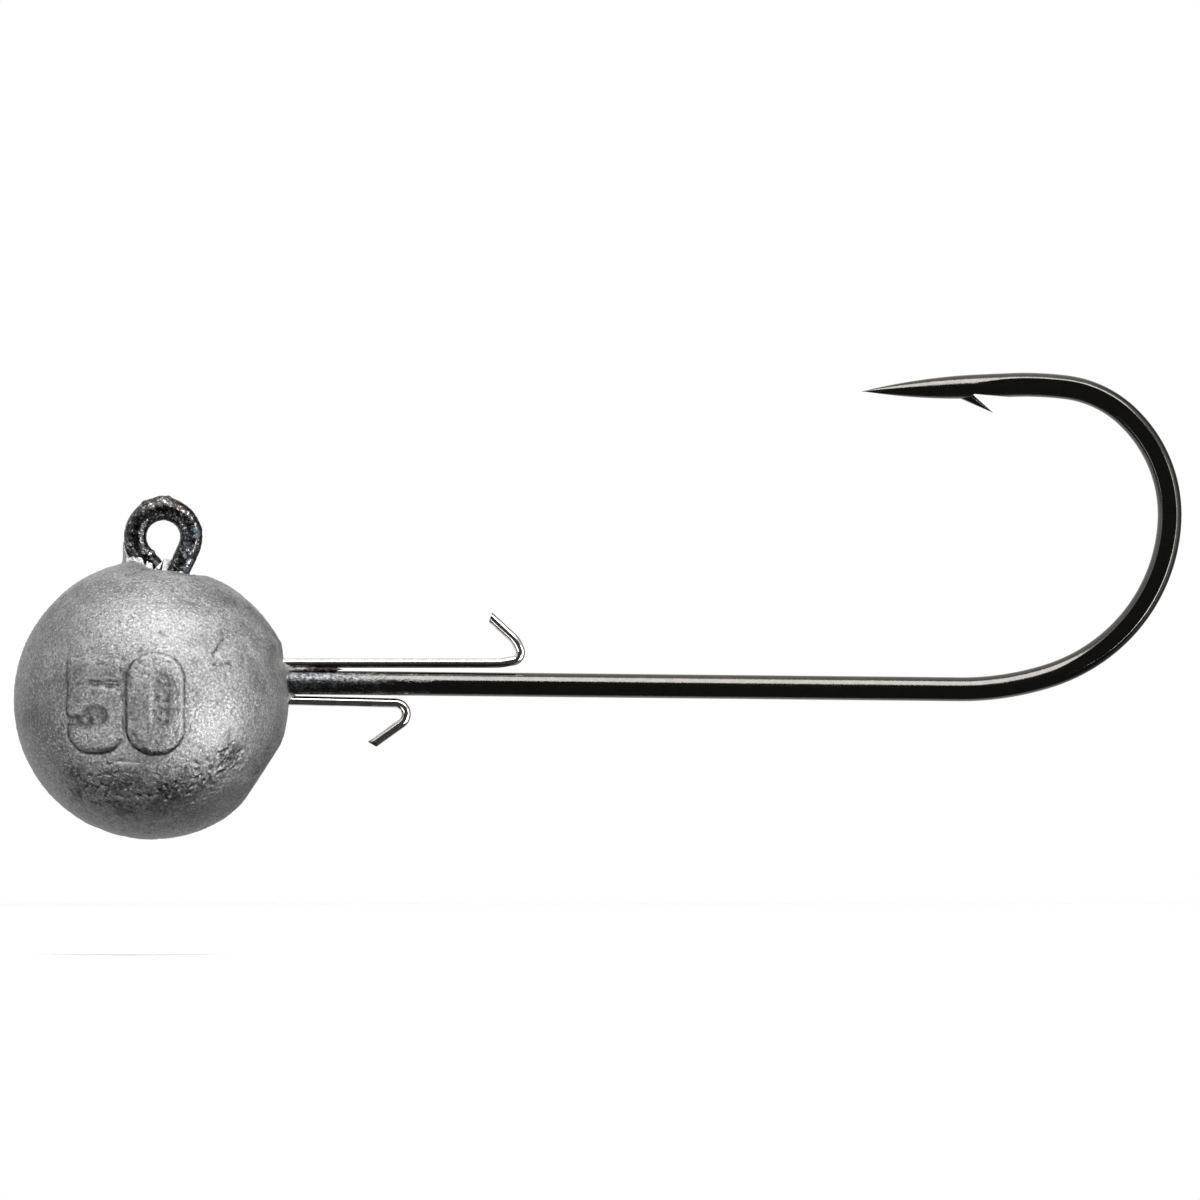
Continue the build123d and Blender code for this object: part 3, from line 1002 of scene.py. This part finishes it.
def panel(name, azimuth, elevation, width, height, radiance):
    """A soft box seen from the object's centre at these angles, in degrees.

    Azimuth 0 is in front of the object, towards -Y, and 90 is on its +X side.
    """
    a, e = math.radians(azimuth), math.radians(elevation)
    away = Vector((math.sin(a) * math.cos(e), -math.cos(a) * math.cos(e), math.sin(e)))
    light = bpy.data.lights.new(name, "AREA")
    light.shape = "RECTANGLE"
    light.size, light.size_y = width, height
    light.energy = radiance * math.pi * width * height
    obj = bpy.data.objects.new(name, light)
    bpy.context.scene.collection.objects.link(obj)
    obj.location = Vector(centre) + away * BOX_DISTANCE
    aim(obj, centre)
    return obj


centre = (cad_low + cad_high) / 2
length = cad_high.x - cad_low.x

boxes = {name: panel(name, *box) for name, box in BOXES.items()}
boxes["top_box"].location.x += TOP_BOX_SHIFT

lead_only = bpy.data.collections.new("lead_only")
lead_only.objects.link(head)
for azimuth, elevation, radiance in CARDS:
    card = panel("fill_card", azimuth, elevation, *CARD_SIZE, radiance)
    card.light_linking.receiver_collection = lead_only


def make_world():
    """White for the camera; for light, white above and behind and dark below in front."""
    world = bpy.data.worlds.new("studio")
    bpy.context.scene.world = world
    world.use_nodes = True
    tree = world.node_tree
    tree.nodes.clear()
    w = Nodes(tree, "Generated")
    toward = tree.nodes.new("ShaderNodeVectorMath")
    toward.operation = "DOT_PRODUCT"
    toward.inputs[1].default_value = (0.0, math.cos(SKY_TILT), math.sin(SKY_TILT))
    w.put(toward.inputs[0], w.coords)
    level = w.remap(toward.outputs["Value"], *SKY_EDGE, *SKY_STRENGTH)

    # A dark corner behind the object's right side
    right = w.remap(w.axis(X), 0.12, 0.50)
    behind = w.remap(w.axis(Y), 0.0, 0.40, 0.0, 0.80)
    gate = w.times(level, w.math("SUBTRACT", 1.0, w.times(right, behind)))

    lit = tree.nodes.new("ShaderNodeBackground")
    seen = tree.nodes.new("ShaderNodeBackground")
    for background, strength in ((lit, gate), (seen, 1.0)):
        background.inputs["Color"].default_value = (1, 1, 1, 1)
        w.put(background.inputs["Strength"], strength)
    path = tree.nodes.new("ShaderNodeLightPath")
    mixer = tree.nodes.new("ShaderNodeMixShader")
    output = tree.nodes.new("ShaderNodeOutputWorld")
    w.put(mixer.inputs[0], path.outputs["Is Camera Ray"])
    w.put(mixer.inputs[1], lit.outputs[0])
    w.put(mixer.inputs[2], seen.outputs[0])
    w.put(output.inputs[0], mixer.outputs[0])


def make_floor():
    """A pale floor a little under the object, out of its reflections."""
    m = Material("floor")
    tone = m.noise(30.0, 2.0)
    m.set(color=m.mix(tone, grey(0.93), grey(0.97)), roughness=0.9)
    half = FLOOR_HALF * length
    low = cad_low.z - FLOOR_DROP * length
    corners = [(-half, -half), (half, -half), (half, half), (-half, half)]
    points = [(centre.x + px, centre.y + py, low) for px, py in corners]
    mesh = bpy.data.meshes.new("floor")
    mesh.from_pydata(points, [], [(0, 1, 2, 3)])
    floor = bpy.data.objects.new("floor", mesh)
    bpy.context.scene.collection.objects.link(floor)
    floor.data.materials.append(m.material)
    floor.visible_glossy = False
    floor.visible_diffuse = False


def make_camera():
    """A long lens square to the hook's plane."""
    camera = bpy.data.cameras.new("camera")
    obj = bpy.data.objects.new("camera", camera)
    bpy.context.scene.collection.objects.link(obj)
    camera.sensor_width = SENSOR_WIDTH
    camera.lens = SENSOR_WIDTH * CAMERA_DISTANCE / (FRAME_WIDTH * length)
    right, up = (shift * length for shift in CAMERA_SHIFT)
    obj.location = (centre.x + right, -CAMERA_DISTANCE, centre.z + up)
    obj.rotation_euler = (math.radians(90), 0, 0)
    camera.clip_start, camera.clip_end = 0.1, 20.0
    bpy.context.scene.camera = obj


make_world()
make_floor()
make_camera()
bpy.context.scene.view_settings.view_transform = "Standard"
